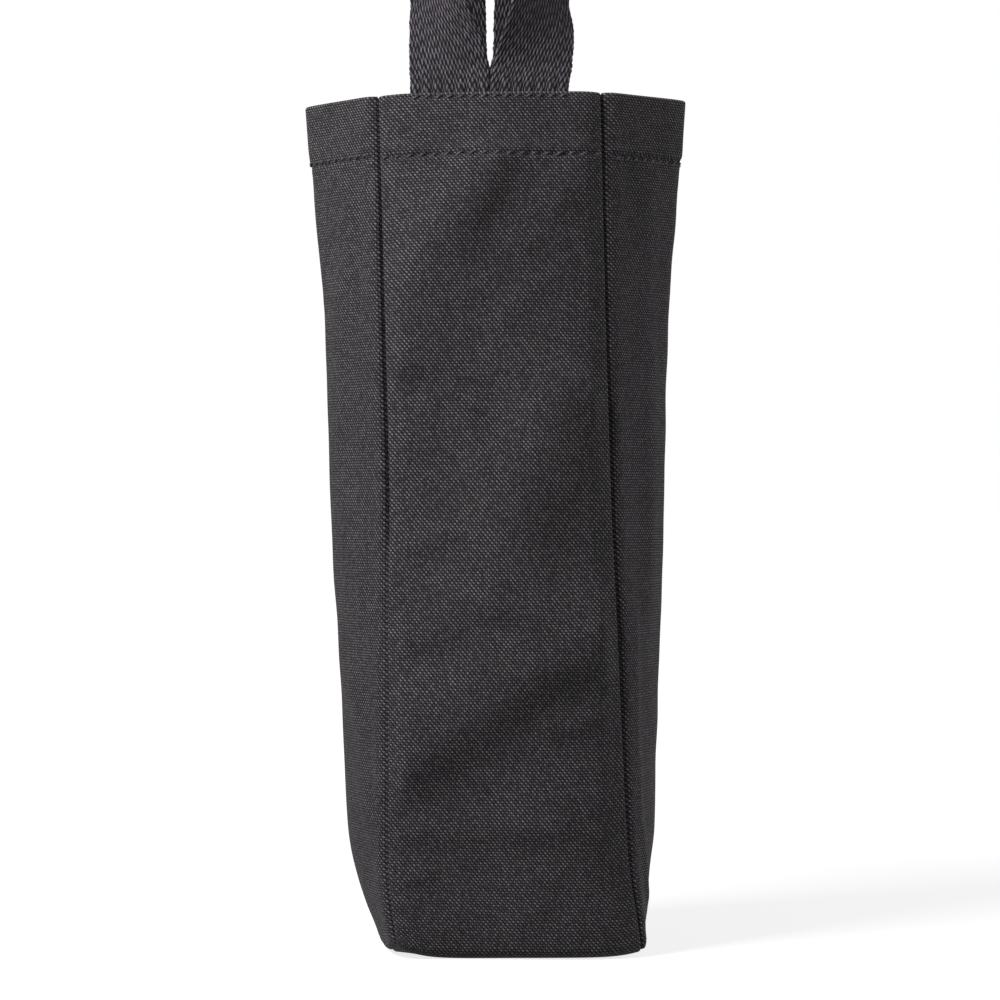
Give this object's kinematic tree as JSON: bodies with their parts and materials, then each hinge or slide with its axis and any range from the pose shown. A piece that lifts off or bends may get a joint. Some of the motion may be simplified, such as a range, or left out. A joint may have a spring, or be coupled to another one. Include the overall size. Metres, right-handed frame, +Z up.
{
  "type": "bottle carrier bag",
  "caption": "Tall narrow canvas tote for one bottle, with outward-creased side gussets, a hemmed open mouth and two webbing loop handles.",
  "frame": {"origin": "on the floor, under the middle of the object's outer box; the base panel rests there", "axes": "+Z up, from the base to the handles; +X to the right across the front panel; +Y from the front panel to the back panel"},
  "size_m": [0.1566, 0.1062, 0.486],
  "materials": {
    "canvas": "plain-weave cotton canvas, matte charcoal black",
    "canvas_inside": "turned-in raw edges of the same canvas, matte",
    "webbing": "chunky woven cotton webbing, matte, very slightly purple black",
    "thread": "spun sewing thread, soft sheen, black"
  },
  "bodies": {
    "bag": {"body_strip": "canvas", "gusset_left": "canvas", "gusset_right": "canvas", "seam_edge_left": "canvas_inside", "seam_edge_right": "canvas_inside", "overlock_left": "thread", "overlock_right": "thread", "seam_thread_left": "thread", "seam_thread_right": "thread", "hem_thread": "thread", "rim_thread_front": "thread", "rim_thread_back": "thread", "handle_front_ends": "webbing", "handle_back_ends": "webbing"},
    "handle_front": {"handle_front": "webbing"},
    "handle_back": {"handle_back": "webbing"}
  },
  "joints": [
    {"name": "front_handle_fold", "type": "hinge", "parent": "bag", "child": "handle_front", "pos_m": [-0.0024, -0.04104, 0.34892], "axis": [1, 0, 0], "range_deg": [0, 155]},
    {"name": "back_handle_fold", "type": "hinge", "parent": "bag", "child": "handle_back", "pos_m": [-0.0024, 0.04104, 0.34892], "axis": [-1, 0, 0], "range_deg": [0, 155]}
  ]
}
